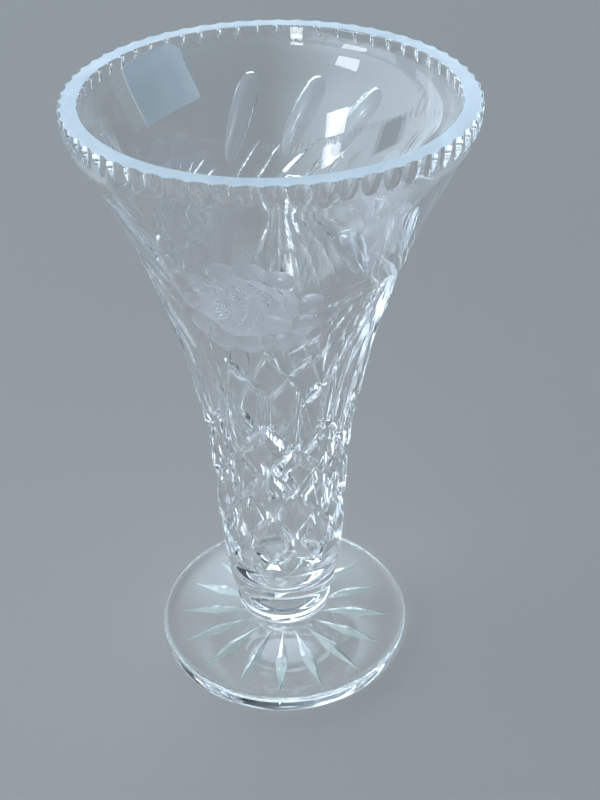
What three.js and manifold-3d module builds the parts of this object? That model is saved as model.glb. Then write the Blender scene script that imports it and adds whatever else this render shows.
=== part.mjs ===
// Footed trumpet vase in hand-cut lead crystal.
// Millimetres, +Z up. The origin is the centre of the foot's underside and the
// front of the vase, where one of the garland's flowers is cut, faces -Y.
//
// The glass is three gathers joined while hot: the bowl, the collar (merese)
// under it and the foot. Each is its own closed solid and they meet face to face.
// Everything else on the glass is wheel cutting, so it is taken away from the blanks.
import * as THREE from 'three';
import { mergeVertices } from 'three/addons/utils/BufferGeometryUtils.js';
import Module from 'manifold-3d';

const wasm = await Module();
wasm.setup();

// ---- driving dimensions -------------------------------------------------
const HEIGHT = 200;
const RIM_RADIUS = 57.6;
const RIM_WALL = 5.7;          // width of the ground flat on top of the rim
const FOOT_RADIUS = 43.3;
const FOOT_EDGE = 6.2;         // thickness of the foot at its rim
const FOOT_LOW_ROUND = 1.1;
const FOOT_HIGH_ROUND = 2;
const FOOT_SWEEP = 1.9;        // power of the curve from the foot's rim up to its dome
const FOOT_TOP = 13.5;         // height of the foot's dome under the collar
const COLLAR_TOP = 17.5;
const COLLAR_RADIUS = 16.3;
const COLLAR_BEVEL = 1;
const CAVITY_FLOOR = 27;       // height of the bottom of the water space

// rim scallops
const RIM_BAND_BASE = 194.5;   // the outside is upright from here to the top
const FLUTE_COUNT = 60;
const FLUTE_SIDES = 20;
const FLUTE_WHEEL = 5;         // radius of the wheel's rounded edge
const FLUTE_DEPTH = 1;
const FLUTE_LENGTH = 6.5;

// band of crossed mitre cuts
const COLUMN_COUNT = 9;
const COLUMN_STEP = 360 / COLUMN_COUNT;
const BAND_START = -9.5;       // azimuth of the first column of crossings
const BAND_TOP = 103.5;
const BAND_BOTTOM = 45.9;
const ROW_COUNT = 3;
const MITRE_WIDTH = 4.9;
const MITRE_DEPTH = 1.7;
const MITRE_RUN_OUT = 3;       // the wheel lifts out over this height past the band
const MITRE_STEPS = 10;

// upright blades above the band
const BLADE_MIDDLE = 109;
const BLADE_LENGTH = 26;
const BLADE_WIDTH = 4.6;
const BLADE_DEPTH = 0.9;

// leaves of the garland, in three sprays
const SPRAY_COUNT = 3;
const LEAF_AZIMUTHS = [-47.5, -72, -94.5];
const LEAF_MIDDLE = 174.5;
const LEAF_LENGTH = 29;
const LEAF_WIDTH = 7.6;
const LEAF_DEPTH = 1.5;
const LEAF_LEAN = 23;

// star under the foot
const RAY_COUNT = 16;
const RAY_START = -3.6;
const RAY_INNER = 7.5;
const RAY_OUTER = 37.6;
const RAY_WIDTH = 4.6;
const RAY_DEPTH = 1.9;

// price label on the inside of the wall
const LABEL_AZIMUTH = -137;
const LABEL_HEIGHT = 189.5;
const LABEL_WIDTH = 22.4;
const LABEL_LENGTH = 19.6;
const LABEL_THICKNESS = 0.25;
const LABEL_GAP = 0.3;
const LABEL_TILT = 8;
const LABEL_WALL_SLOPE = 0.5;  // how much the wall leans out behind the label
const LABEL_PANELS = [8, 5];   // flats across and along the bent slip

// fineness of the turned surfaces
const LATHE_SEGMENTS = 60;
const OUTER_STEPS = 14;
const INNER_STEPS = 9;
const DOME_STEPS = 7;
const ROUND_STEPS = 3;

// ---- profiles: [radius, height] from the bottom up ----------------------
const bowlBase = [
  [15.3, COLLAR_TOP], [17.2, 22], [18.7, 29], [19.9, 38], [20.9, 50], [21.5, 64],
  [22.3, 78], [23.9, 93], [26.3, 106], [29.6, 122], [34.2, 138.5], [39.5, 155],
  [45.4, 170], [51.7, 183], [56.9, 193],
];
const cavityProfile = [
  [9.5, CAVITY_FLOOR], [13.2, 31], [14.6, 40], [15.1, 54], [15.9, 72], [17.9, 90],
  [20.7, 106], [24.3, 122], [28.9, 138.5], [34.1, 155], [39.9, 170], [46.0, 183],
];

const degrees = THREE.MathUtils.degToRad;

function curveThrough(pairs, steps) {
  const spline = new THREE.SplineCurve(pairs.map(([r, z]) => new THREE.Vector2(r, z)));
  return spline.getPoints(steps);
}

const outerCurve = curveThrough(bowlBase, OUTER_STEPS);
const innerCurve = curveThrough(cavityProfile, INNER_STEPS);

// radius of a profile at a height, by straight lines between its points
function radiusAt(curve, height) {
  const next = curve.findIndex((point) => point.y >= height);
  if (next <= 0) return curve[next === 0 ? 0 : curve.length - 1].x;
  const low = curve[next - 1];
  const high = curve[next];
  return low.x + (high.x - low.x) * (height - low.y) / (high.y - low.y);
}

// place on a wall: azimuth 0 is the front (-Y), and it grows towards +X
function wallPoint(radius, azimuth, height) {
  const turn = degrees(azimuth);
  return new THREE.Vector3(radius * Math.sin(turn), -radius * Math.cos(turn), height);
}

// frame on the outside of the bowl: X to the right, Y up the wall, Z out of the glass
function wallFrame(azimuth, height) {
  const step = 4;
  const above = wallPoint(radiusAt(outerCurve, height + step), azimuth, height + step);
  const below = wallPoint(radiusAt(outerCurve, height - step), azimuth, height - step);
  const up = above.sub(below).normalize();
  const right = new THREE.Vector3(Math.cos(degrees(azimuth)), Math.sin(degrees(azimuth)), 0);
  const out = new THREE.Vector3().crossVectors(right, up);
  const place = wallPoint(radiusAt(outerCurve, height), azimuth, height);
  return new THREE.Matrix4().makeBasis(right, up, out).setPosition(place);
}

// ---- solids -------------------------------------------------------------
function solid(geometry) {
  const bare = geometry.index ? geometry.clone() : mergeVertices(geometry);
  bare.deleteAttribute('normal');
  bare.deleteAttribute('uv');
  const merged = mergeVertices(bare, 1e-5);
  return new wasm.Manifold(new wasm.Mesh({
    numProp: 3,
    vertProperties: new Float32Array(merged.attributes.position.array),
    triVerts: new Uint32Array(merged.index.array),
  }));
}

function geometryOf(body) {
  const mesh = body.getMesh();
  const geometry = new THREE.BufferGeometry();
  geometry.setAttribute('position', new THREE.BufferAttribute(mesh.vertProperties, 3));
  geometry.setIndex(new THREE.BufferAttribute(mesh.triVerts, 1));
  geometry.computeVertexNormals();
  return geometry;
}

function turned(points) {
  const profile = points.map((point) => (Array.isArray(point) ? new THREE.Vector2(...point) : point));
  return new THREE.LatheGeometry(profile, LATHE_SEGMENTS).rotateX(Math.PI / 2);
}

function cutAll(blank, cutters) {
  return cutters.reduce((body, cutter) => body.subtract(solid(cutter)), solid(blank));
}

// pointed lens left by a mitre wheel that is lowered and lifted again
function lensCut(length, width, depth) {
  return new THREE.OctahedronGeometry(1, 0).scale(width / 2, length / 2, depth);
}

// ---- cutters ------------------------------------------------------------
function rimFlute(azimuth) {
  const reach = FLUTE_LENGTH * 2;
  const tilt = Math.atan(FLUTE_DEPTH / FLUTE_LENGTH);
  const middle = RIM_RADIUS + FLUTE_WHEEL - FLUTE_DEPTH;
  return new THREE.CylinderGeometry(FLUTE_WHEEL, FLUTE_WHEEL, reach * 2, FLUTE_SIDES)
    .rotateX(Math.PI / 2)
    .rotateX(-tilt)
    .translate(0, -middle, HEIGHT)
    .rotateZ(degrees(azimuth));
}

// Three-sided bar bent along a helix on the wall: one edge is the bottom of the V.
function mitreCut(startAzimuth, direction) {
  const bar = new THREE.CylinderGeometry(1, 1, 1, 3, MITRE_STEPS);
  const position = bar.attributes.position;
  const top = BAND_TOP + MITRE_RUN_OUT;
  const bottom = BAND_BOTTOM - MITRE_RUN_OUT;
  const turnPerHeight = ROW_COUNT * COLUMN_STEP / (BAND_TOP - BAND_BOTTOM);
  const lift = 1.5;
  for (let i = 0; i < position.count; i += 1) {
    const height = THREE.MathUtils.lerp(bottom, top, position.getY(i) + 0.5);
    const azimuth = startAzimuth + direction * (height - BAND_BOTTOM) * turnPerHeight;
    const past = Math.max(height - BAND_TOP, BAND_BOTTOM - height, 0);
    const depth = MITRE_DEPTH * (1 - 1.2 * past / MITRE_RUN_OUT);
    const frame = wallFrame(azimuth, height);
    const along = new THREE.Vector2(direction * degrees(turnPerHeight) * radiusAt(outerCurve, height), 1);
    along.normalize();
    const corner = new THREE.Vector2(position.getX(i), position.getZ(i));
    const onAxis = corner.lengthSq() < 1e-6;
    const side = onAxis ? 0 : Math.round(corner.x / Math.sin(degrees(120)));
    const halfWidth = (MITRE_WIDTH / 2) * (1 + lift / MITRE_DEPTH);
    const out = side === 0 && !onAxis ? -depth : MITRE_DEPTH - depth + lift;
    const point = new THREE.Vector3(-side * halfWidth * along.y, side * halfWidth * along.x, out);
    point.applyMatrix4(frame);
    position.setXYZ(i, point.x, point.y, point.z);
  }
  return bar;
}

function bladeCut(azimuth) {
  return lensCut(BLADE_LENGTH, BLADE_WIDTH, BLADE_DEPTH)
    .applyMatrix4(wallFrame(azimuth, BLADE_MIDDLE));
}

function leafCut(azimuth) {
  return lensCut(LEAF_LENGTH, LEAF_WIDTH, LEAF_DEPTH)
    .rotateZ(degrees(LEAF_LEAN))
    .applyMatrix4(wallFrame(azimuth, LEAF_MIDDLE));
}

function starRay(azimuth) {
  return lensCut(RAY_OUTER - RAY_INNER, RAY_WIDTH, RAY_DEPTH)
    .translate(0, -(RAY_OUTER + RAY_INNER) / 2, 0)
    .rotateZ(degrees(azimuth));
}

function repeat(count, make) {
  return Array.from({ length: count }, (_, index) => make(index));
}

// ---- sub-parts ----------------------------------------------------------
function makeBowl() {
  const blank = turned([
    [0, COLLAR_TOP],
    ...outerCurve,
    [RIM_RADIUS, RIM_BAND_BASE],
    [RIM_RADIUS, HEIGHT],
    [RIM_RADIUS - RIM_WALL, HEIGHT],
    ...innerCurve.toReversed(),
    [0, CAVITY_FLOOR],
  ]);
  const sprays = repeat(SPRAY_COUNT, (i) => i * 360 / SPRAY_COUNT);
  const leaves = sprays.flatMap((turn) => LEAF_AZIMUTHS.map((azimuth) => azimuth + turn));
  const cutters = [
    ...repeat(FLUTE_COUNT, (i) => rimFlute(i * 360 / FLUTE_COUNT)),
    ...repeat(COLUMN_COUNT, (i) => mitreCut(BAND_START + i * COLUMN_STEP, 1)),
    ...repeat(COLUMN_COUNT, (i) => mitreCut(BAND_START + i * COLUMN_STEP, -1)),
    ...repeat(COLUMN_COUNT * 2, (i) => bladeCut(BAND_START + i * COLUMN_STEP / 2)),
    ...leaves.map((azimuth) => leafCut(azimuth)),
  ];
  return geometryOf(cutAll(blank, cutters));
}

function makeCollar() {
  return turned([
    [0, FOOT_TOP],
    [COLLAR_RADIUS - COLLAR_BEVEL, FOOT_TOP],
    [COLLAR_RADIUS, FOOT_TOP + COLLAR_BEVEL],
    [COLLAR_RADIUS, COLLAR_TOP - COLLAR_BEVEL],
    [COLLAR_RADIUS - COLLAR_BEVEL, COLLAR_TOP],
    [0, COLLAR_TOP],
  ]);
}

// quarter circle of a profile from the start angle, counted from the outward direction
function quarterRound(radius, height, size, start) {
  return repeat(ROUND_STEPS + 1, (i) => {
    const turn = degrees(start + 90 * i / ROUND_STEPS);
    return [radius + size * Math.cos(turn), height + size * Math.sin(turn)];
  });
}

function makeFoot() {
  const neck = COLLAR_RADIUS - COLLAR_BEVEL;
  const shoulder = FOOT_RADIUS - FOOT_HIGH_ROUND;
  const lowRound = quarterRound(FOOT_RADIUS - FOOT_LOW_ROUND, FOOT_LOW_ROUND, FOOT_LOW_ROUND, -90);
  const highRound = quarterRound(shoulder, FOOT_EDGE - FOOT_HIGH_ROUND, FOOT_HIGH_ROUND, 0);
  const dome = repeat(DOME_STEPS, (i) => {
    const share = (i + 1) / DOME_STEPS;
    const radius = THREE.MathUtils.lerp(shoulder, neck, share);
    return [radius, FOOT_EDGE + (FOOT_TOP - FOOT_EDGE) * share ** FOOT_SWEEP];
  });
  const blank = turned([[0, 0], ...lowRound, ...highRound, ...dome, [0, FOOT_TOP]]);
  return geometryOf(cutAll(blank, repeat(RAY_COUNT, (i) => starRay(RAY_START + i * 360 / RAY_COUNT))));
}

// A flat slip of paper bent to the inside of the wall.
function makeLabel() {
  const paper = new THREE.BoxGeometry(LABEL_WIDTH, LABEL_LENGTH, LABEL_THICKNESS, ...LABEL_PANELS)
    .rotateZ(degrees(LABEL_TILT));
  const position = paper.attributes.position;
  const slope = Math.hypot(1, LABEL_WALL_SLOPE);
  for (let i = 0; i < position.count; i += 1) {
    const height = LABEL_HEIGHT + position.getY(i) / slope;
    const wall = Math.min(radiusAt(innerWall, height), RIM_RADIUS - RIM_WALL);
    const radius = wall - LABEL_GAP - LABEL_THICKNESS / 2 - position.getZ(i);
    const azimuth = LABEL_AZIMUTH - THREE.MathUtils.radToDeg(position.getX(i) / wall);
    const point = wallPoint(radius, azimuth, height);
    position.setXYZ(i, point.x, point.y, point.z);
  }
  return paper;
}

const innerWall = [...innerCurve, new THREE.Vector2(RIM_RADIUS - RIM_WALL, HEIGHT)];

function part(name, geometry, material) {
  const mesh = new THREE.Mesh(geometry, material);
  mesh.name = name;
  return mesh;
}

const crystal = new THREE.MeshStandardMaterial({ color: 0xe9f1f4, roughness: 0.03, metalness: 0 });
const paper = new THREE.MeshStandardMaterial({ color: 0xc9dbe6, roughness: 0.85, metalness: 0 });

const vase = new THREE.Group();
vase.add(
  part('bowl', makeBowl(), crystal),
  part('collar', makeCollar(), crystal),
  part('foot', makeFoot(), crystal),
  part('price_label', makeLabel(), paper),
);

export default vase;
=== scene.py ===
"""Footed trumpet vase in hand-cut lead crystal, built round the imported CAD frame.

Lengths are millimetres until a mesh is made, and azimuths are degrees: 0 is the front (-Y), and
they grow towards +X. The wheel cuts are real geometry, taken out of turned blanks with booleans.
"""
import math
import random

import bmesh
import bpy
import numpy as np
from mathutils import Matrix, Vector


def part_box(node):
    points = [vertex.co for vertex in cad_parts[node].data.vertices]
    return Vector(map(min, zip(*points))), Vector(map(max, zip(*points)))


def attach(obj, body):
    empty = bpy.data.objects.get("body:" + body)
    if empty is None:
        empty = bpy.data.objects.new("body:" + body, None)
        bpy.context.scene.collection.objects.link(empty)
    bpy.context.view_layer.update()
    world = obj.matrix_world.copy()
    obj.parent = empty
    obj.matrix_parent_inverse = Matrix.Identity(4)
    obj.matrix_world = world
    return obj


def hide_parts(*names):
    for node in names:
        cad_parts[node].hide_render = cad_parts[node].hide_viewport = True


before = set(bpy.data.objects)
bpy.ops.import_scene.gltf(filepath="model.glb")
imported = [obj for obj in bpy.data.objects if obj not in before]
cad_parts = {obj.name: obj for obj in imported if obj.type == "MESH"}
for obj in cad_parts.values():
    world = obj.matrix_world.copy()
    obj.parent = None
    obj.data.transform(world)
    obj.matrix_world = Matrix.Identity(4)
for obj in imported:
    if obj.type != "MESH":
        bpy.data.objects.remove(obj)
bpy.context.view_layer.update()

MM = 0.001
random.seed(11)

# ---- driving dimensions, read from the frame ------------------------------
_, bowl_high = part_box("bowl")
_, foot_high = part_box("foot")
_, collar_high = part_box("collar")
HEIGHT = bowl_high.z / MM
RIM_RADIUS = bowl_high.x / MM
FOOT_RADIUS = foot_high.x / MM
FOOT_TOP = foot_high.z / MM
COLLAR_TOP = collar_high.z / MM
COLLAR_RADIUS = collar_high.x / MM

RIM_WALL = 5.7
FOOT_EDGE = 6.2
JOINT_RADIUS = COLLAR_RADIUS - 1
CAVITY_FLOOR = 27

# outside of the bowl and inside of the wall: (height, radius), from the bottom up
OUTSIDE = [
    (COLLAR_TOP, JOINT_RADIUS), (22, 17.2), (29, 18.7), (38, 19.9), (50, 20.9), (64, 21.5),
    (78, 22.3), (93, 23.9), (106, 26.3), (122, 29.6), (138.5, 34.2), (155, 39.5), (170, 45.4),
    (183, 51.7), (190, 55.45), (193.5, 56.85), (197, 57.5), (HEIGHT, RIM_RADIUS),
]
INSIDE = [
    (31, 12.6), (40, 14.6), (54, 15.1), (72, 15.9), (90, 17.9), (106, 20.7), (122, 24.3),
    (138.5, 28.9), (155, 34.1), (170, 39.9), (183, 46.0), (192, 50.3), (HEIGHT, RIM_RADIUS - RIM_WALL),
]

SEGMENTS = 240
SECTORS = 3
SECTOR = 360 / SECTORS
FLOWER = -6.0                  # azimuth of the front flower's middle
FLOWER_HEIGHT = 157.0


# ---- curves ---------------------------------------------------------------
def spline(points):
    """Natural cubic through (x, y) points, as a function that also gives the slope."""
    x = np.array([p[0] for p in points], float)
    y = np.array([p[1] for p in points], float)
    h = np.diff(x)
    n = len(x)
    system = np.eye(n)
    target = np.zeros(n)
    for i in range(1, n - 1):
        system[i, i - 1:i + 2] = h[i - 1], 2 * (h[i - 1] + h[i]), h[i]
        target[i] = 6 * ((y[i + 1] - y[i]) / h[i] - (y[i] - y[i - 1]) / h[i - 1])
    bend = np.linalg.solve(system, target)

    def at(value):
        v = np.clip(np.asarray(value, float), x[0], x[-1])
        i = np.clip(np.searchsorted(x, v) - 1, 0, n - 2)
        a, b = (x[i + 1] - v) / h[i], (v - x[i]) / h[i]
        low_bend, high_bend = bend[i], bend[i + 1]
        place = a * y[i] + b * y[i + 1] + ((a**3 - a) * low_bend + (b**3 - b) * high_bend) * h[i]**2 / 6
        bowing = ((1 - 3 * a**2) * low_bend + (3 * b**2 - 1) * high_bend) * h[i] / 6
        slope = (y[i + 1] - y[i]) / h[i] + bowing
        return place, slope

    return at


outside = spline(OUTSIDE)
inside = spline(INSIDE)


def wall(azimuth, height, out=0.0):
    """Point on the outside of the bowl, and its right, up and outward directions."""
    radius, slope = (float(v) for v in outside(height))
    turn = math.radians(azimuth)
    radial = Vector((math.sin(turn), -math.cos(turn), 0))
    right = Vector((math.cos(turn), math.sin(turn), 0))
    up = (radial * slope + Vector((0, 0, 1))).normalized()
    outward = right.cross(up)
    return radial * radius + Vector((0, 0, height)) + outward * out, right, up, outward


def on_wall(azimuth, height, u, v, w=0.0):
    """Point u to the right and v up along the wall from a place on it, and w out of it."""
    slope = float(outside(height)[1])
    new_height = height + v / math.hypot(1, slope)
    radius = float(outside(new_height)[0])
    return wall(azimuth + math.degrees(u / radius), new_height, w)[0]


# ---- meshes ---------------------------------------------------------------
def mesh_object(name, points, faces, material_of_face=None):
    mesh = bpy.data.meshes.new(name)
    mesh.from_pydata([tuple(Vector(p) * MM) for p in points], [], faces)
    if material_of_face is not None:
        mesh.polygons.foreach_set("material_index", material_of_face)
    mesh.update()
    made = bpy.data.objects.new(name, mesh)
    bpy.context.scene.collection.objects.link(made)
    return made


def volume_sign(points, faces):
    total = 0.0
    for face in faces:
        a = Vector(points[face[0]])
        for i in range(1, len(face) - 1):
            total += a.dot(Vector(points[face[i]]).cross(Vector(points[face[i + 1]])))
    return 1 if total > 0 else -1


def tube(rings):
    """Closed body through rings of equal size, with flat ends."""
    size = len(rings[0])
    points = [p for ring in rings for p in ring]
    faces = []
    for k in range(len(rings) - 1):
        for i in range(size):
            j = (i + 1) % size
            faces.append((k * size + i, k * size + j, (k + 1) * size + j, (k + 1) * size + i))
    faces.append(tuple(reversed(range(size))))
    faces.append(tuple(range((len(rings) - 1) * size, len(rings) * size)))
    if volume_sign(points, faces) < 0:
        faces = [tuple(reversed(face)) for face in faces]
    return points, faces


def joined(bodies):
    points, faces = [], []
    for body_points, body_faces in bodies:
        first = len(points)
        points += body_points
        faces += [tuple(first + i for i in face) for face in body_faces]
    return points, faces


def turned(name, outline):
    """Body turned round Z from ((radius, height), material) points; it starts and ends on the axis."""
    rows = [(r, z) for (r, z), _ in outline]
    kinds = [kind for _, kind in outline]
    points, faces, materials = [(0, 0, rows[0][1])], [], []
    angles = [2 * math.pi * i / SEGMENTS for i in range(SEGMENTS)]
    middle = rows[1:-1]
    for r, z in middle:
        points += [(r * math.sin(a), -r * math.cos(a), z) for a in angles]
    points.append((0, 0, rows[-1][1]))
    last = len(points) - 1
    for i in range(SEGMENTS):
        j = (i + 1) % SEGMENTS
        faces.append((0, 1 + j, 1 + i))
        materials.append(kinds[0])
        for k in range(len(middle) - 1):
            a, b = 1 + k * SEGMENTS, 1 + (k + 1) * SEGMENTS
            faces.append((a + i, a + j, b + j, b + i))
            materials.append(kinds[k + 1])
        top = 1 + (len(middle) - 1) * SEGMENTS
        faces.append((top + i, top + j, last))
        materials.append(kinds[len(middle)])
    return mesh_object(name, points, faces, materials)


# ---- wheel cuts -----------------------------------------------------------
LIFT = 1.5                     # how far a cutter stands out of the glass
END_CLEARANCE = 0.04           # how far a wheel is off the glass at the ends of its cut


def mitre_section(depth, spread):
    """V of a mitre wheel: spread is half the width over the depth."""
    half = (depth + LIFT) * spread
    return [(0, -depth), (half, LIFT), (-half, LIFT)]


def olive_section(depth, wheel, steps=10):
    """Round bottom of an olive wheel of that radius."""
    middle = wheel - depth
    reach = math.acos(max(-1.0, min(1.0, (middle - LIFT) / wheel)))
    turns = [reach * (2 * i / steps - 1) for i in range(steps + 1)]
    return [(wheel * math.sin(t), middle - wheel * math.cos(t)) for t in turns]


def cut_along(places, depths, section):
    """Cutter along (point, side, outward) places on the surface."""
    rings = []
    for (point, side, outward), depth in zip(places, depths):
        rings.append([point + side * x + outward * y for x, y in section(depth)])
    return tube(rings)


def wall_path(start, end, steps):
    """Places along a straight cut on the wall from one (azimuth, height) to another."""
    places = []
    for i in range(steps + 1):
        t = i / steps
        azimuth = start[0] + (end[0] - start[0]) * t
        height = start[1] + (end[1] - start[1]) * t
        point, right, up, outward = wall(azimuth, height)
        radius, slope = (float(v) for v in outside(height))
        across = math.radians(end[0] - start[0]) * radius
        along = (end[1] - start[1]) * math.hypot(1, slope)
        heading = (right * across + up * along).normalized()
        places.append((point, heading.cross(outward).normalized(), outward))
    return places


def lens_depths(depth, steps, fullest=0.5, power=1.0):
    """Depths of a cut whose wheel is lowered and lifted, deepest at that share of its length."""
    depths = []
    for i in range(steps + 1):
        t = i / steps
        share = t / fullest if t < fullest else (1 - t) / (1 - fullest)
        depths.append(depth * math.sin(share * math.pi / 2) ** power - END_CLEARANCE)
    return depths


KITE_NECK, KITE_POINT = 1.5, 1.15
KITE_CLEARANCE = 0.03


def kite_depths(depth, steps, fullest):
    """Depths of a cut with a thin neck and then straight sides, which run to a point."""
    depths = []
    for i in range(steps + 1):
        t = i / steps
        share = t / fullest if t < fullest else (1 - t) / (1 - fullest)
        bow = share ** KITE_NECK if t < fullest else 1 - (1 - share) ** KITE_POINT
        depths.append(depth * bow - KITE_CLEARANCE)
    return depths


def ray_cut(start, end, width, spread, fullest=0.5, steps=28):
    depth = width / 2 / spread
    depths = lens_depths(depth, steps, fullest)
    return cut_along(wall_path(start, end, steps), depths, lambda d: mitre_section(d, spread))


def olive_cut(start, end, depth, wheel, fullest=0.5, steps=28):
    depths = lens_depths(depth, steps, fullest, 0.8)
    return cut_along(wall_path(start, end, steps), depths, lambda d: olive_section(d, wheel))


LEAF_DEPTH = 1.5
LEAF_WHEEL = 6.0
LEAF_FULLEST = 0.66
LEAF_RISE, LEAF_FALL = 0.9, 0.62


def leaf_cut(start, end, steps=34):
    """Broad olive cut with a long lower end and a short, steep upper one."""
    depths = []
    for i in range(steps + 1):
        t = i / steps
        rising = t < LEAF_FULLEST
        share = t / LEAF_FULLEST if rising else (1 - t) / (1 - LEAF_FULLEST)
        bow = math.sin(share * math.pi / 2) ** (LEAF_RISE if rising else LEAF_FALL)
        depths.append(LEAF_DEPTH * bow - END_CLEARANCE)
    return cut_along(wall_path(start, end, steps), depths, lambda d: olive_section(d, LEAF_WHEEL))


def dish(azimuth, height, u, v, half_width, half_height, tilt, depth):
    """Shallow petal ground by a small wheel, following the curve of the wall."""
    rings, around = 7, 30
    flare = 1.22
    points, faces = [on_wall(azimuth, height, u, v, -depth)], []
    turn = math.radians(tilt)
    for k in range(1, rings + 1):
        share = flare * k / rings
        for i in range(around):
            a = 2 * math.pi * i / around
            x, y = half_width * share * math.cos(a), half_height * share * math.sin(a)
            du = x * math.cos(turn) - y * math.sin(turn)
            dv = x * math.sin(turn) + y * math.cos(turn)
            points.append(on_wall(azimuth, height, u + du, v + dv, -depth * (1 - share**2)))
    for i in range(around):
        j = (i + 1) % around
        faces.append((0, 1 + i, 1 + j))
        for k in range(rings - 1):
            a, b = 1 + k * around, 1 + (k + 1) * around
            faces.append((a + i, b + i, b + j, a + j))
    lid = len(points)
    points.append(on_wall(azimuth, height, u, v, LIFT))
    outer = 1 + (rings - 1) * around
    for i in range(around):
        faces.append((outer + i, lid, outer + (i + 1) % around))
    if volume_sign(points, faces) < 0:
        faces = [tuple(reversed(face)) for face in faces]
    return points, faces


def keep_main_body(mesh):
    """Drops the loose splinters that crossing cuts leave."""
    work = bmesh.new()
    work.from_mesh(mesh)
    bodies, seen = [], set()
    for start in work.verts:
        if start in seen:
            continue
        body, front = [], [start]
        seen.add(start)
        while front:
            here = front.pop()
            body.append(here)
            for edge in here.link_edges:
                there = edge.other_vert(here)
                if there not in seen:
                    seen.add(there)
                    front.append(there)
        bodies.append(body)
    largest = max(bodies, key=len)
    for body in bodies:
        if body is not largest:
            bmesh.ops.delete(work, geom=body, context="VERTS")
    work.to_mesh(mesh)
    work.free()
    mesh.update()


def carve(blank, groups):
    """Takes (bodies, material) groups of cutters out of a blank. A group's bodies don't meet."""
    cutters = []
    for index, (bodies, material) in enumerate(groups):
        cutter = mesh_object(f"{blank.name}.cut{index}", *joined(bodies))
        cutter.data.materials.append(material)
        cutters.append(cutter)
        step = blank.modifiers.new(f"cut{index}", "BOOLEAN")
        step.operation = "DIFFERENCE"
        step.solver = "MANIFOLD"
        step.material_mode = "TRANSFER"
        step.object = cutter
    evaluated = blank.evaluated_get(bpy.context.evaluated_depsgraph_get())
    carved = bpy.data.meshes.new_from_object(evaluated)
    blank.modifiers.clear()
    keep_main_body(carved)
    old = blank.data
    blank.data = carved
    bpy.data.meshes.remove(old)
    for cutter in cutters:
        bpy.data.meshes.remove(cutter.data)
    return blank


ARRIS_ANGLE = 17               # faces that meet at more than this keep a crisp edge
LEVEL = 0.9995                 # least share of Z in the normal of a level face


def shade(piece, smooth_materials, exact_normal):
    """Crisp arrises between cuts, and true normals on the turned surfaces."""
    mesh = piece.data
    mesh.shade_smooth()
    count = len(mesh.polygons)
    normals = np.zeros(count * 3, np.float32)
    mesh.polygons.foreach_get("normal", normals)
    normals = normals.reshape(-1, 3)
    kinds = np.zeros(count, np.int32)
    mesh.polygons.foreach_get("material_index", kinds)
    edge_of_loop = np.zeros(len(mesh.loops), np.int32)
    mesh.loops.foreach_get("edge_index", edge_of_loop)
    vertex_of_loop = np.zeros(len(mesh.loops), np.int32)
    mesh.loops.foreach_get("vertex_index", vertex_of_loop)
    totals = np.zeros(count, np.int32)
    mesh.polygons.foreach_get("loop_total", totals)
    face_of_loop = np.repeat(np.arange(count), totals)
    order = np.argsort(edge_of_loop, kind="stable")
    first, second = face_of_loop[order[0::2]], face_of_loop[order[1::2]]
    edges = edge_of_loop[order[0::2]]
    facing = np.einsum("ij,ij->i", normals[first], normals[second])
    sharp = np.zeros(len(mesh.edges), bool)
    creased = facing < math.cos(math.radians(ARRIS_ANGLE))
    sharp[edges] = creased | (kinds[first] != kinds[second])
    layer = mesh.attributes.get("sharp_edge")
    if layer is None:
        layer = mesh.attributes.new("sharp_edge", "BOOLEAN", "EDGE")
    layer.data.foreach_set("value", sharp)
    mesh.update()
    corners = np.zeros(len(mesh.loops) * 3, np.float32)
    mesh.corner_normals.foreach_get("vector", corners)
    corners = corners.reshape(-1, 3)
    places = np.zeros(len(mesh.vertices) * 3, np.float32)
    mesh.vertices.foreach_get("co", places)
    places = places.reshape(-1, 3)[vertex_of_loop] / MM
    turned_loops = np.isin(kinds[face_of_loop], smooth_materials)
    flat = np.abs(normals[face_of_loop, 2]) > LEVEL
    chosen = turned_loops & ~flat
    corners[chosen] = exact_normal(places[chosen], normals[face_of_loop[chosen]])
    corners[turned_loops & flat] = normals[face_of_loop[turned_loops & flat]]
    mesh.normals_split_custom_set(corners)
    return piece


# ---- node helpers ---------------------------------------------------------
def material(name):
    made = bpy.data.materials.new(name)
    made.use_nodes = True
    nodes = made.node_tree.nodes
    nodes.clear()
    output = nodes.new("ShaderNodeOutputMaterial")
    return made, nodes, made.node_tree.links, output


def object_noise(nodes, links, scale, detail=3.0, rough=0.5, stretch=(1, 1, 1)):
    where = nodes.new("ShaderNodeTexCoord")
    mapping = nodes.new("ShaderNodeMapping")
    mapping.inputs["Scale"].default_value = stretch
    noise = nodes.new("ShaderNodeTexNoise")
    noise.inputs["Scale"].default_value = scale
    noise.inputs["Detail"].default_value = detail
    noise.inputs["Roughness"].default_value = rough
    links.new(where.outputs["Object"], mapping.inputs["Vector"])
    links.new(mapping.outputs["Vector"], noise.inputs["Vector"])
    return noise.outputs["Fac"]


def remap(nodes, links, source, low, high, from_low=0.0, from_high=1.0):
    step = nodes.new("ShaderNodeMapRange")
    step.inputs["From Min"].default_value = from_low
    step.inputs["From Max"].default_value = from_high
    step.inputs["To Min"].default_value = low
    step.inputs["To Max"].default_value = high
    links.new(source, step.inputs["Value"])
    return step.outputs["Result"]


def bump(nodes, links, source, distance, strength=1.0):
    made = nodes.new("ShaderNodeBump")
    made.inputs["Strength"].default_value = strength
    made.inputs["Distance"].default_value = distance
    links.new(source, made.inputs["Height"])
    return made.outputs["Normal"]


CRYSTAL_IOR = 1.545


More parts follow.
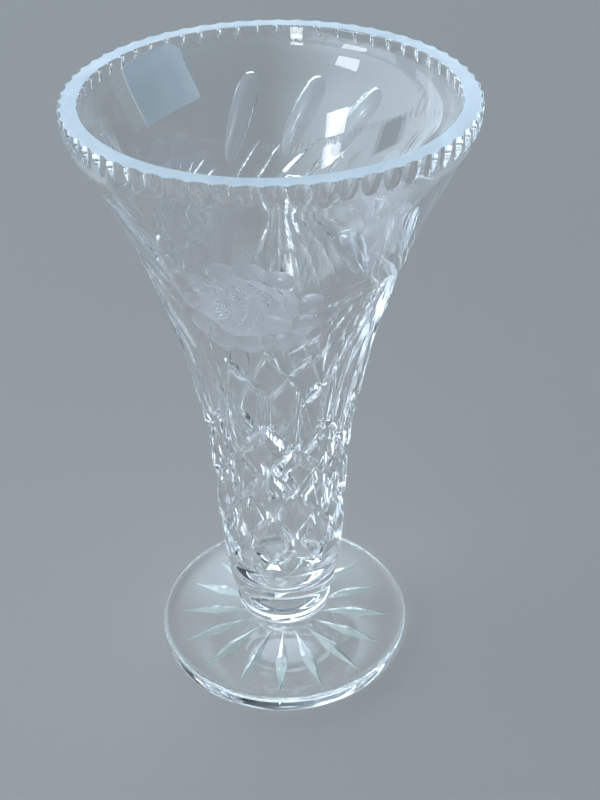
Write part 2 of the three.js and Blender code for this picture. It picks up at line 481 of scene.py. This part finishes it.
def glass(name, tint, transmission, smoothness, waviness, wave_scale, shadow_tint):
    """Clear or ground lead crystal that lets lamps through to the floor."""
    made, nodes, links, output = material(name)
    shader = nodes.new("ShaderNodeBsdfPrincipled")
    shader.inputs["Base Color"].default_value = (*tint, 1)
    shader.inputs["IOR"].default_value = CRYSTAL_IOR
    shader.inputs["Transmission Weight"].default_value = transmission
    smudges = object_noise(nodes, links, 55, 4, 0.6)
    low, high = smoothness
    links.new(remap(nodes, links, smudges, low, high, 0.42, 0.75), shader.inputs["Roughness"])
    waves = object_noise(nodes, links, wave_scale, 2, 0.5)
    links.new(bump(nodes, links, waves, waviness), shader.inputs["Normal"])
    path = nodes.new("ShaderNodeLightPath")
    clear = nodes.new("ShaderNodeBsdfTransparent")
    clear.inputs["Color"].default_value = (*shadow_tint, 1)
    mix = nodes.new("ShaderNodeMixShader")
    links.new(path.outputs["Is Shadow Ray"], mix.inputs["Fac"])
    links.new(shader.outputs["BSDF"], mix.inputs[1])
    links.new(clear.outputs["BSDF"], mix.inputs[2])
    links.new(mix.outputs["Shader"], output.inputs["Surface"])
    return made


# name, tint, transmission, roughness range, waviness, wave scale, shadow tint
crystal = glass("crystal_polished", (1, 1, 1), 1.0, (0.0, 0.03), 0.00004, 26, (0.93, 0.94, 0.95))
cut_crystal = glass("crystal_cut", (1, 1, 1), 1.0, (0.0, 0.02), 0.00001, 900, (0.86, 0.88, 0.9))
leaf_crystal = glass(
    "crystal_leaf_cut", (0.94, 0.97, 1), 0.95, (0.02, 0.08), 0.00001, 900, (0.86, 0.88, 0.9))
# ground rim: the satin finish is real, but its blue tint is a painted reflection of the cool sky
satin_painted_sky = glass(
    "crystal_ground_rim_painted_sky", (0.74, 0.87, 0.97), 0.5, (0.3, 0.45), 0.00003, 1800, (0.7, 0.73, 0.76))
frosted = glass(
    "crystal_engraved", (0.93, 0.92, 0.97), 0.84, (0.28, 0.42), 0.00003, 1500, (0.8, 0.82, 0.84))
petal_frost = glass(
    "crystal_engraved_petal", (0.93, 0.92, 0.97), 0.92, (0.2, 0.35), 0.00003, 1500, (0.85, 0.87, 0.88))
star_cut = glass(
    "crystal_star_cut", (0.90, 1.0, 0.96), 0.74, (0.05, 0.16), 0.00002, 700, (0.8, 0.84, 0.83))


def joint_material():
    made, nodes, links, output = material("crystal_fused_joint")
    clear = nodes.new("ShaderNodeBsdfTransparent")
    clear.inputs["Color"].default_value = (1, 1, 1, 1)
    links.new(clear.outputs["BSDF"], output.inputs["Surface"])
    return made


fused = joint_material()


# ---- the bowl -------------------------------------------------------------
POLISHED, RIM_FACE, JOINT = 0, 1, 2
RIM_OUTER_BEVEL = 0.35
RIM_INNER_BEVEL = 0.4
RIM_INNER_DROP = 0.5
OUTSIDE_ROWS, INSIDE_ROWS = 124, 90
CORNER_STRETCH = 1.25          # width over height of the round at the bottom of the water space
CORNER_STEPS = 9


def bowl_outline():
    rows = [((0, COLLAR_TOP), JOINT), ((JOINT_RADIUS, COLLAR_TOP), POLISHED)]
    for z in np.linspace(COLLAR_TOP, HEIGHT - RIM_OUTER_BEVEL, OUTSIDE_ROWS)[1:]:
        rows.append(((float(outside(z)[0]), float(z)), POLISHED))
    rows.append(((RIM_RADIUS - RIM_OUTER_BEVEL, HEIGHT), RIM_FACE))
    rows.append(((RIM_RADIUS - RIM_WALL + RIM_INNER_BEVEL, HEIGHT), POLISHED))
    low_height, low_radius = INSIDE[0]
    for z in np.linspace(HEIGHT - RIM_INNER_DROP, low_height, INSIDE_ROWS):
        rows.append(((float(inside(z)[0]), float(z)), POLISHED))
    corner = low_height - CAVITY_FLOOR
    flat = low_radius - corner * CORNER_STRETCH
    for i in range(1, CORNER_STEPS + 1):
        turn = math.radians(90 * i / CORNER_STEPS)
        rows.append(((flat + corner * CORNER_STRETCH * math.cos(turn),
                      low_height - corner * math.sin(turn)), POLISHED))
    rows.append(((0, CAVITY_FLOOR), POLISHED))
    return rows


def bowl_normal(places, facing):
    """Normals of the turned bowl, on whichever of its two walls a corner lies."""
    radius = np.hypot(places[:, 0], places[:, 1])
    radial = places[:, :2] / np.maximum(radius, 1e-6)[:, None]
    outward = np.einsum("ij,ij->i", radial, facing[:, :2]) > 0
    normals = np.array(facing)
    for curve, side, points in ((outside, outward, OUTSIDE), (inside, ~outward, INSIDE)):
        height = places[:, 2]
        here = side & (height >= points[0][0]) & (height <= points[-1][0] - 0.4)
        slope = curve(height[here])[1]
        sign = 1.0 if curve is outside else -1.0
        exact = np.column_stack([radial[here] * sign, -slope * sign])
        normals[here] = exact / np.linalg.norm(exact, axis=1)[:, None]
    return normals


FLUTES = 60
FLUTE_WHEEL = 4.6
FLUTE_DEPTH = 1.15
FLUTE_FOOT = 194.4


def rim_flute(azimuth):
    """Scallop at the rim: a round wheel that runs out down the wall."""
    turn = math.radians(azimuth)
    radial = Vector((math.sin(turn), -math.cos(turn), 0))
    side = Vector((math.cos(turn), math.sin(turn), 0))
    steps = 16
    low, high = FLUTE_FOOT - 2, HEIGHT + 2
    places, depths = [], []
    for i in range(steps + 1):
        height = low + (high - low) * i / steps
        t = (height - FLUTE_FOOT) / (HEIGHT - FLUTE_FOOT)
        radius = float(outside(min(height, HEIGHT))[0])
        places.append((radial * radius + Vector((0, 0, height)), side, radial))
        depths.append(FLUTE_DEPTH * (1 - (1 - min(t, 1)) ** 2))
    return cut_along(places, depths, lambda d: olive_section(d, FLUTE_WHEEL, 12))


COLUMNS = 9
BAND_START = -9.5
BAND_TOP = 103.5
BAND_BOTTOM = 45.9
ROWS = 3
BAND_RUN_OUT = 4.0             # the wheel lifts out over this height past the band
MITRE_WIDTH = 4.9
MITRE_SPREAD = 1.42            # half the width over the depth
BLADE_TOP = 123.5
BLADE_FEET = (99.0, 90.5)      # over the top row of crossings and over the next row, in turn
BLADE_DEPTH = 0.75
BLADE_WHEEL = 4.2


def band_cut(azimuth, direction):
    """One long mitre cut of the crossed band, which runs out past both ends."""
    low, high = BAND_BOTTOM - BAND_RUN_OUT, BAND_TOP + BAND_RUN_OUT
    turn_rate = direction * ROWS * 360 / COLUMNS / (BAND_TOP - BAND_BOTTOM)
    start = (azimuth + (low - BAND_BOTTOM) * turn_rate, low)
    end = (azimuth + (high - BAND_BOTTOM) * turn_rate, high)
    steps = 64
    full = MITRE_WIDTH / 2 / MITRE_SPREAD
    depths = []
    for i in range(steps + 1):
        height = low + (high - low) * i / steps
        past = max(height - BAND_TOP, BAND_BOTTOM - height, 0) / BAND_RUN_OUT
        depths.append(full * (1 - 1.25 * past ** 1.6))
    return cut_along(wall_path(start, end, steps), depths, lambda d: mitre_section(d, MITRE_SPREAD))


def blade(index):
    """Upright cut that stands on the band."""
    azimuth = BAND_START + index * 180 / COLUMNS
    foot = BLADE_FEET[index % 2]
    return olive_cut((azimuth, foot), (azimuth, BLADE_TOP), BLADE_DEPTH, BLADE_WHEEL, 0.45)


# cuts of one spray, as (azimuth from the flower on its right, height)
LEAVES = [((-34, 160.5), (-48.5, 185)), ((-59, 161.5), (-72.5, 184)), ((-81, 163), (-95.5, 183.5))]
STEMS = [
    ((-49, 166.5), (-30, 152), 1.4), ((-58, 165.5), (-37, 148), 1.5),
    ((-75, 167.5), (-48, 149), 2.2), ((-82, 165), (-59, 148), 1.4),
]
STEM_SPREAD = 1.3
SPRAY = (-57, 156.5)
SPRAY_SPREAD = 1.4
SPRAY_RAYS = [
    ((-106, 153), 2.2), ((-98, 147), 2.8), ((-109, 137), 3.2), ((-101, 129), 3.8), ((-89, 123), 4.2),
    ((-75, 118), 4.4), ((-61, 116), 4.2), ((-47, 120), 3.8), ((-37, 129), 3.4),
]


def sectors(make):
    return [make(FLOWER + SECTOR * i) for i in range(SECTORS)]


def spray_groups():
    groups = []
    for start, end in LEAVES:
        groups.append((sectors(lambda c, s=start, e=end: leaf_cut(
            (c + s[0], s[1]), (c + e[0], e[1]))), leaf_crystal))
    for start, end, width in STEMS:
        groups.append((sectors(lambda c, s=start, e=end, w=width: ray_cut(
            (c + s[0], s[1]), (c + e[0], e[1]), w, STEM_SPREAD, 0.5)), cut_crystal))
    for end, width in SPRAY_RAYS:
        groups.append((sectors(lambda c, e=end, w=width: ray_cut(
            (c + SPRAY[0], SPRAY[1]), (c + e[0], e[1]), w, SPRAY_SPREAD, 0.6)), cut_crystal))
    return groups


# petals as (u, v, half width, half height, tilt, depth), from the flower's middle
OUTER_PETALS = [
    (-16.3, 5.5, 4.2, 4.6, 40, 0.5), (-9.6, 12.2, 4.6, 4.4, 20, 0.5), (-2.3, 13.1, 4.8, 4.5, 0, 0.5),
    (4.9, 10.0, 4.6, 4.5, -25, 0.5), (13.4, -0.9, 4.0, 4.7, -10, 0.6), (11.6, -8.7, 3.6, 4.3, -15, 0.6),
    (9.0, -14.6, 3.8, 3.8, -30, 0.55), (3.2, -15.6, 4.2, 4.0, -10, 0.5), (-4.1, -16.8, 4.4, 4.0, 0, 0.5),
    (-11.6, -16.4, 4.4, 4.0, 10, 0.5), (-17.6, -11.4, 4.2, 4.4, 40, 0.5), (-19.6, -3.0, 3.6, 4.4, 80, 0.5),
]
BODY_PETALS = [
    (-4.0, -1.2, 13.2, 12.6, -8, 0.6), (4.4, 1.6, 5.6, 8.4, 30, 0.75), (2.0, -8.2, 6.4, 4.6, -20, 0.8),
    (-6.5, -10.0, 6.2, 4.4, 5, 0.8), (-3.2, 6.6, 8.0, 4.4, -20, 0.75),
]
VEIN_WIDTH, VEIN_SPREAD = 0.85, 1.0
ARC_WIDTH, ARC_SPREAD = 0.6, 1.1
HEART = (-13.6, -3.2)
HEART_RINGS = [(6.4, 0.85), (3.2, 1.05)]
# fine lines of the flower, each through three (u, v) points
VEINS = [
    [(-19.4, 3.6), (-17.0, 2.3), (-14.0, 1.0)], [(-17.2, 7.2), (-12.7, 4.4), (-6.6, 0.7)],
    [(-13.8, 8.2), (-8.6, 3.6), (-4.1, 0.3)], [(-8.6, 8.8), (-5.4, 5.0), (-2.8, 2.4)],
    [(-4.6, 10.2), (-1.4, 6.6), (1.0, 3.8)], [(-0.6, 13.0), (3.9, 7.3), (7.8, 0.7)],
    [(0.4, 5.7), (2.9, 2.4), (5.3, -1.2)], [(0.3, 3.1), (1.8, 0.6), (2.1, -2.8)],
    [(6.4, 3.4), (6.5, -0.4), (6.3, -3.7)],
]


def bent(points, steps):
    """Smooth run through three points."""
    a, b, c = (Vector(p) for p in points)
    middle = b * 2 - (a + c) / 2
    return [a * (1 - t)**2 + middle * 2 * t * (1 - t) + c * t**2 for t in np.linspace(0, 1, steps + 1)]


def ground_depth(u, v):
    """How far the flower's hollows lie below the wall at a place on it."""
    shapes = OUTER_PETALS + BODY_PETALS + [heart_shape(r, d) for r, d in HEART_RINGS]
    deepest = 0.0
    for x, y, half_width, half_height, tilt, depth in shapes:
        turn = math.radians(tilt)
        across = (u - x) * math.cos(turn) + (v - y) * math.sin(turn)
        along = (v - y) * math.cos(turn) - (u - x) * math.sin(turn)
        deepest = max(deepest, depth * (1 - (across / half_width)**2 - (along / half_height)**2))
    return deepest


def flower_line(azimuth, run, width, spread):
    """Fine mitre line along a run of (u, v) points on the flower."""
    places, depths, last = [], [], len(run) - 1
    shape = lens_depths(width / 2 / spread, last)
    for i, here in enumerate(run):
        ahead, behind = run[min(i + 1, last)], run[max(i - 1, 0)]
        point = on_wall(azimuth, FLOWER_HEIGHT, here[0], here[1])
        lifted = on_wall(azimuth, FLOWER_HEIGHT, here[0], here[1], 1)
        outward = (lifted - point).normalized()
        heading = on_wall(azimuth, FLOWER_HEIGHT, *ahead) - on_wall(azimuth, FLOWER_HEIGHT, *behind)
        places.append((point, heading.cross(outward).normalized(), outward))
        depths.append(shape[i] + ground_depth(*here))
    rings = []
    for (point, side, outward), depth in zip(places, depths):
        half = width / 2
        rings.append([point - outward * depth, point + side * half + outward * (half / spread - depth),
                      point - side * half + outward * (half / spread - depth)])
    return tube(rings)


def heart_arc(radius, low, high, steps=22):
    """Run of points round the heart of the flower."""
    turns = [math.radians(low + (high - low) * i / steps) for i in range(steps + 1)]
    return [Vector((HEART[0] + radius * math.cos(t), HEART[1] + radius * math.sin(t))) for t in turns]


# arcs round the heart as (radius, first and last angle)
HEART_ARCS = [
    (1.5, -150, 150), (2.7, -130, 120), (3.9, -110, 100),
    (5.1, -95, 85), (9.4, -60, 38), (12.6, -52, 12),
]


def heart_shape(radius, depth):
    shift = (HEART_RINGS[0][0] - radius) * 0.35
    return HEART[0] - shift, HEART[1], radius * 0.92, radius, 10, depth


def heart_ring(azimuth, radius, depth):
    """Round hollow of the rolled petals at the heart of the flower, each set further in."""
    return dish(azimuth, FLOWER_HEIGHT, *heart_shape(radius, depth))


def flower_groups():
    groups = []
    for shape in OUTER_PETALS:
        groups.append((sectors(lambda c, s=shape: dish(c, FLOWER_HEIGHT, *s)), petal_frost))
    for shape in BODY_PETALS:
        groups.append((sectors(lambda c, s=shape: dish(c, FLOWER_HEIGHT, *s)), frosted))
    for radius, depth in HEART_RINGS:
        groups.append((sectors(lambda c, r=radius, d=depth: heart_ring(c, r, d)), frosted))
    for run in VEINS:
        groups.append((sectors(lambda c, r=run: flower_line(
            c, bent(r, 20), VEIN_WIDTH, VEIN_SPREAD)), petal_frost))
    for radius, low, high in HEART_ARCS:
        groups.append((sectors(lambda c, r=radius, a=low, b=high: flower_line(
            c, heart_arc(r, a, b), ARC_WIDTH, ARC_SPREAD)), petal_frost))
    return groups


def make_bowl():
    blank = turned("bowl_glass", bowl_outline())
    for kind in (crystal, satin_painted_sky, fused):
        blank.data.materials.append(kind)
    groups = [
        ([rim_flute(i * 360 / FLUTES) for i in range(0, FLUTES, 2)], cut_crystal),
        ([rim_flute(i * 360 / FLUTES) for i in range(1, FLUTES, 2)], cut_crystal),
        ([blade(i) for i in range(0, 2 * COLUMNS, 2)], cut_crystal),
        ([blade(i) for i in range(1, 2 * COLUMNS, 2)], cut_crystal),
        ([band_cut(BAND_START + i * 360 / COLUMNS, 1) for i in range(COLUMNS)], cut_crystal),
        ([band_cut(BAND_START + i * 360 / COLUMNS, -1) for i in range(COLUMNS)], cut_crystal),
    ]
    carve(blank, spray_groups() + flower_groups() + groups)
    return shade(blank, [POLISHED, RIM_FACE, JOINT], bowl_normal)


# ---- collar and foot ------------------------------------------------------
COLLAR_FULLNESS = 0.75         # 1 is a round ring, and less is a fuller one


def collar_outline():
    rows = [((0, FOOT_TOP), JOINT), ((JOINT_RADIUS, FOOT_TOP), POLISHED)]
    half = (COLLAR_TOP - FOOT_TOP) / 2
    steps = 24
    for i in range(1, steps):
        turn = math.radians(-90 + 180 * i / steps)
        bulge = math.cos(turn) ** COLLAR_FULLNESS
        rows.append(((JOINT_RADIUS + (COLLAR_RADIUS - JOINT_RADIUS) * bulge,
                      FOOT_TOP + half + half * math.sin(turn)), POLISHED))
    rows += [((JOINT_RADIUS, COLLAR_TOP), JOINT), ((0, COLLAR_TOP), JOINT)]
    return rows


FOOT_LOW_ROUND = 1.1
FOOT_HIGH_ROUND = 2.0
FOOT_SWEEP = 1.9               # power of the curve from the foot's rim up to its dome
STAR_RAYS = 16
STAR_START = -3.6
STAR_INNER = 7.5
STAR_OUTER = 37.6
STAR_OUTER_CHANGE = 1.2        # hand-cut rays differ a little in length and width
STAR_WIDTH = 4.3
STAR_WIDTH_CHANGE = 0.08
STAR_SPREAD = 1.25


def foot_outline():
    rows = [((0, 0), POLISHED)]
    low_centre = FOOT_RADIUS - FOOT_LOW_ROUND
    for r in np.linspace(3, low_centre, 20)[:-1]:
        rows.append(((float(r), 0), POLISHED))
    for i in range(9):
        turn = math.radians(-90 + 86 * i / 8)
        rows.append(((low_centre + FOOT_LOW_ROUND * math.cos(turn),
                      FOOT_LOW_ROUND + FOOT_LOW_ROUND * math.sin(turn)), POLISHED))
    shoulder = FOOT_RADIUS - FOOT_HIGH_ROUND
    middle = FOOT_EDGE - FOOT_HIGH_ROUND
    for i in range(13):
        turn = math.radians(2 + 82 * i / 12)
        rows.append(((shoulder + FOOT_HIGH_ROUND * math.cos(turn),
                      middle + FOOT_HIGH_ROUND * math.sin(turn)), POLISHED))
    steps = 60
    for i in range(1, steps + 1):
        t = i / steps
        radius = shoulder + (JOINT_RADIUS - shoulder) * t
        rows.append(((radius, FOOT_EDGE + (FOOT_TOP - FOOT_EDGE) * t ** FOOT_SWEEP), POLISHED))
    rows[-1] = (rows[-1][0], JOINT)
    rows.append(((0, FOOT_TOP), JOINT))
    return rows


def star_ray(azimuth):
    turn = math.radians(azimuth)
    radial = Vector((math.sin(turn), -math.cos(turn), 0))
    side = Vector((math.cos(turn), math.sin(turn), 0))
    steps = 30
    width = STAR_WIDTH * random.uniform(1 - STAR_WIDTH_CHANGE, 1 + STAR_WIDTH_CHANGE)
    outer = STAR_OUTER + random.uniform(-STAR_OUTER_CHANGE, STAR_OUTER_CHANGE)
    places = []
    for i in range(steps + 1):
        reach = STAR_INNER + (outer - STAR_INNER) * i / steps
        places.append((radial * reach, side, Vector((0, 0, -1))))
    depths = kite_depths(width / 2 / STAR_SPREAD, steps, 0.5)
    return cut_along(places, depths, lambda d: mitre_section(d, STAR_SPREAD))


def profile_normal(outline):
    """Normals of a small turned piece, from the direction of its outline."""
    rows = np.array([p for p, _ in outline])

    def at(places, facing):
        radius = np.hypot(places[:, 0], places[:, 1])
        radial = places[:, :2] / np.maximum(radius, 1e-6)[:, None]
        tangents = np.gradient(rows, axis=0)
        tangents /= np.linalg.norm(tangents, axis=1)[:, None]
        nearest = np.argmin((radius[:, None] - rows[None, :, 0]) ** 2
                            + (places[:, 2][:, None] - rows[None, :, 1]) ** 2, axis=1)
        out = np.column_stack([tangents[nearest, 1], -tangents[nearest, 0]])
        exact = np.column_stack([radial * out[:, :1], out[:, 1]])
        agrees = np.einsum("ij,ij->i", exact, facing) > 0.8
        return np.where(agrees[:, None], exact, facing)

    return at


def make_collar():
    outline = collar_outline()
    piece = turned("collar_glass", outline)
    for kind in (crystal, satin_painted_sky, fused):
        piece.data.materials.append(kind)
    return shade(piece, [POLISHED, JOINT], profile_normal(outline))


def make_foot():
    outline = foot_outline()
    blank = turned("foot_glass", outline)
    for kind in (crystal, satin_painted_sky, fused):
        blank.data.materials.append(kind)
    rays = [star_ray(STAR_START + i * 360 / STAR_RAYS) for i in range(STAR_RAYS)]
    carve(blank, [(rays, star_cut)])
    return shade(blank, [POLISHED, JOINT], profile_normal(outline))


# ---- price sticker --------------------------------------------------------
PAPER_THINNESS = 0.4           # share of the light that the paper passes on from behind


def paper_material():
    made, nodes, links, output = material("label_paper")
    shader = nodes.new("ShaderNodeBsdfPrincipled")
    fibres = object_noise(nodes, links, 2600, 4, 0.7, (1, 1, 0.4))
    tone = nodes.new("ShaderNodeValToRGB")
    tone.color_ramp.elements[0].color = (0.76, 0.80, 0.82, 1)
    tone.color_ramp.elements[1].color = (0.90, 0.92, 0.93, 1)
    links.new(object_noise(nodes, links, 160, 3, 0.5), tone.inputs["Fac"])
    links.new(tone.outputs["Color"], shader.inputs["Base Color"])
    links.new(remap(nodes, links, fibres, 0.5, 0.75), shader.inputs["Roughness"])
    links.new(bump(nodes, links, fibres, 0.00006, 0.6), shader.inputs["Normal"])
    let_through = nodes.new("ShaderNodeBsdfTranslucent")
    links.new(tone.outputs["Color"], let_through.inputs["Color"])
    thin = nodes.new("ShaderNodeMixShader")
    thin.inputs["Fac"].default_value = PAPER_THINNESS
    links.new(shader.outputs["BSDF"], thin.inputs[1])
    links.new(let_through.outputs["BSDF"], thin.inputs[2])
    links.new(thin.outputs["Shader"], output.inputs["Surface"])
    return made


STICKER_AZIMUTH = -137
STICKER_HEIGHT = 189.5
STICKER_WIDTH = 22.4
STICKER_LENGTH = 19.6
STICKER_GAP = 0.12
STICKER_THICKNESS = 0.16
STICKER_TILT = 8
STICKER_WALL_SLOPE = 0.5       # of the wall under it, radius over height
STICKER_ROUNDING = 0.03
STICKER_WORN = 0.72            # one corner is worn off past this share of the half size
STICKER_WEAR = (2.2, 1.6)
STICKER_LIFT_FROM = 0.62       # and it lifts off the glass past this share
STICKER_LIFT = 3.0


def make_sticker():
    """Nearly square slip on the inside of the wall, with one worn corner that lifts a little."""
    steps = 26
    tilt = math.radians(STICKER_TILT)
    points, faces = [], []
    for layer in (0, 1):
        for i in range(steps + 1):
            for j in range(steps + 1):
                u, v = 2 * i / steps - 1, 2 * j / steps - 1
                corner = (abs(u) * abs(v)) ** 6
                pull = 1 - STICKER_ROUNDING * corner
                x, y = u * pull * STICKER_WIDTH / 2, v * pull * STICKER_LENGTH / 2
                if u > STICKER_WORN and v > STICKER_WORN:
                    x -= (u + v - 2 * STICKER_WORN) * STICKER_WEAR[0]
                    y -= (u + v - 2 * STICKER_WORN) * STICKER_WEAR[1]
                lift = STICKER_LIFT * max(0.0, (u + v) / 2 - STICKER_LIFT_FROM) ** 2
                across = x * math.cos(tilt) - y * math.sin(tilt)
                along = x * math.sin(tilt) + y * math.cos(tilt)
                height = STICKER_HEIGHT + along / math.hypot(1, STICKER_WALL_SLOPE)
                radius, slope = (float(value) for value in inside(min(height, HEIGHT)))
                off_glass = STICKER_GAP + layer * STICKER_THICKNESS + lift
                radial = radius - off_glass * math.hypot(1, slope)
                turn = math.radians(STICKER_AZIMUTH) - across / radius
                points.append((radial * math.sin(turn), -radial * math.cos(turn), height))
    side = steps + 1
    deck = side * side
    for i in range(steps):
        for j in range(steps):
            a = i * side + j
            faces.append((a, a + 1, a + side + 1, a + side))
            faces.append((deck + a, deck + a + side, deck + a + side + 1, deck + a + 1))
    rim = ([i * side for i in range(side)] + [steps * side + j for j in range(1, side)]
           + [i * side + steps for i in range(steps - 1, -1, -1)] + [j for j in range(steps - 1, 0, -1)])
    for k, a in enumerate(rim):
        b = rim[(k + 1) % len(rim)]
        faces.append((a, b, deck + b, deck + a))
    if volume_sign(points, faces) < 0:
        faces = [tuple(reversed(face)) for face in faces]
    piece = mesh_object("price_sticker", points, faces)
    piece.data.materials.append(paper_material())
    piece.data.shade_smooth()
    piece.data.set_sharp_from_angle(angle=math.radians(40))
    return piece


for made, node, slot_name in (
    (make_bowl(), "bowl", "cut_crystal"),
    (make_collar(), "collar", "cut_crystal"),
    (make_foot(), "foot", "cut_crystal"),
    (make_sticker(), "price_label", "label_paper"),
):
    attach(made, "root")
    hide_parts(node)


# ---- studio ---------------------------------------------------------------
COOL = (0.70, 0.86, 1.0)
TENT_STRENGTH = 2.4
TENT_LOW = 1.0
TENT_TOP = 0.14
TENT_EDGE = 0.46               # upward share of a direction where the bright band ends
TENT_FADE = 0.25
DARK_SIDE = (0.9, -0.35, 0.15)
DARK_SIDE_LEVELS = (1.2, 0.03)  # brightness away from the dark side and towards it
DARK_SIDE_SPAN = (-0.3, 0.42)  # how far towards it a direction points where each level is reached
FLOOR_REACH = 3.0
LAMP_TARGET = (0, 0, 0.12)     # metres, as are the places and sizes of the lamps
CAMERA_TURNS = (35.78, 1.16, -0.87)    # pitch down, yaw and roll
CAMERA_BACK, CAMERA_UP = 1.652, 1.676  # in heights of the vase
CAMERA_LENS = 57.7
LIGHT_PATH = 40                # cut glass hands light on from face to face many times


def floor_material():
    made, nodes, links, output = material("studio_floor")
    shader = nodes.new("ShaderNodeBsdfPrincipled")
    shader.inputs["Base Color"].default_value = (0.53, 0.49, 0.46, 1)
    shader.inputs["Roughness"].default_value = 0.8
    links.new(shader.outputs["BSDF"], output.inputs["Surface"])
    return made


def make_floor():
    mesh = bpy.data.meshes.new("studio_floor")
    corners = [(x * FLOOR_REACH, y * FLOOR_REACH, 0) for x, y in ((-1, -1), (1, -1), (1, 1), (-1, 1))]
    mesh.from_pydata(corners, [], [(0, 1, 2, 3)])
    floor = bpy.data.objects.new("studio_floor", mesh)
    floor.location.z = -0.0002
    mesh.materials.append(floor_material())
    bpy.context.scene.collection.objects.link(floor)


def softbox(name, place, target, size, power, colour):
    data = bpy.data.lights.new(name, "AREA")
    data.shape = "RECTANGLE"
    data.size, data.size_y = size
    data.energy = power
    data.color = colour
    lamp = bpy.data.objects.new(name, data)
    lamp.location = place
    aim = Vector(target) - Vector(place)
    lamp.rotation_euler = aim.to_track_quat("-Z", "Y").to_euler()
    bpy.context.scene.collection.objects.link(lamp)


def make_world():
    """Light tent: bright near the horizon, dimmer overhead, with a dark stretch on the right."""
    world = bpy.data.worlds.new("studio_world")
    world.use_nodes = True
    nodes, links = world.node_tree.nodes, world.node_tree.links
    background = nodes["Background"]
    where = nodes.new("ShaderNodeTexCoord")
    parts = nodes.new("ShaderNodeSeparateXYZ")
    links.new(where.outputs["Generated"], parts.inputs["Vector"])
    ramp = nodes.new("ShaderNodeValToRGB")
    ramp.color_ramp.interpolation = "EASE"
    stops = ramp.color_ramp.elements
    stops[0].position, stops[0].color = 0.0, (*[c * TENT_LOW for c in COOL], 1)
    stops[1].position, stops[1].color = 1.0, (*[c * TENT_TOP for c in COOL], 1)
    band = stops.new(TENT_EDGE)
    band.color = (*[c * TENT_LOW for c in COOL], 1)
    above = stops.new(TENT_EDGE + TENT_FADE)
    above.color = (*[c * TENT_TOP for c in COOL], 1)
    links.new(parts.outputs["Z"], ramp.inputs["Fac"])
    side = nodes.new("ShaderNodeVectorMath")
    side.operation = "DOT_PRODUCT"
    side.inputs[1].default_value = Vector(DARK_SIDE).normalized()
    links.new(where.outputs["Generated"], side.inputs[0])
    dimmed = remap(nodes, links, side.outputs["Value"], *DARK_SIDE_LEVELS, *DARK_SIDE_SPAN)
    scale = nodes.new("ShaderNodeVectorMath")
    scale.operation = "SCALE"
    links.new(ramp.outputs["Color"], scale.inputs[0])
    links.new(dimmed, scale.inputs["Scale"])
    links.new(scale.outputs["Vector"], background.inputs["Color"])
    background.inputs["Strength"].default_value = TENT_STRENGTH
    bpy.context.scene.world = world


def make_camera():
    """Camera at the photograph's viewing angle: in front, looking down at 36 degrees."""
    pitch, yaw, roll = (math.radians(angle) for angle in CAMERA_TURNS)
    forward = Vector((math.sin(yaw) * math.cos(pitch), math.cos(yaw) * math.cos(pitch), -math.sin(pitch)))
    level = Vector((math.cos(yaw), -math.sin(yaw), 0))
    upright = level.cross(forward)
    right = level * math.cos(roll) + upright * math.sin(roll)
    up = upright * math.cos(roll) - level * math.sin(roll)
    data = bpy.data.cameras.new("camera")
    data.lens = CAMERA_LENS
    data.clip_start = 0.01
    camera = bpy.data.objects.new("camera", data)
    turn = Matrix((right, up, -forward)).transposed()
    place = (0, -CAMERA_BACK * HEIGHT * MM, CAMERA_UP * HEIGHT * MM)
    camera.matrix_world = Matrix.Translation(place) @ turn.to_4x4()
    bpy.context.scene.collection.objects.link(camera)
    bpy.context.scene.camera = camera


def lengthen_light_paths():
    paths = bpy.context.scene.cycles
    paths.max_bounces = LIGHT_PATH
    paths.transmission_bounces = LIGHT_PATH
    paths.glossy_bounces = LIGHT_PATH
    paths.transparent_max_bounces = LIGHT_PATH


bpy.context.scene.view_settings.view_transform = "Standard"
make_floor()
make_world()
lengthen_light_paths()
make_camera()
softbox("window", (-0.75, -0.55, 0.5), LAMP_TARGET, (0.26, 0.2), 1.6, (0.86, 0.93, 1.0))
softbox("behind_camera", (-0.33, -1.05, 0.2), LAMP_TARGET, (0.15, 0.2), 1.2, (0.84, 0.91, 1.0))
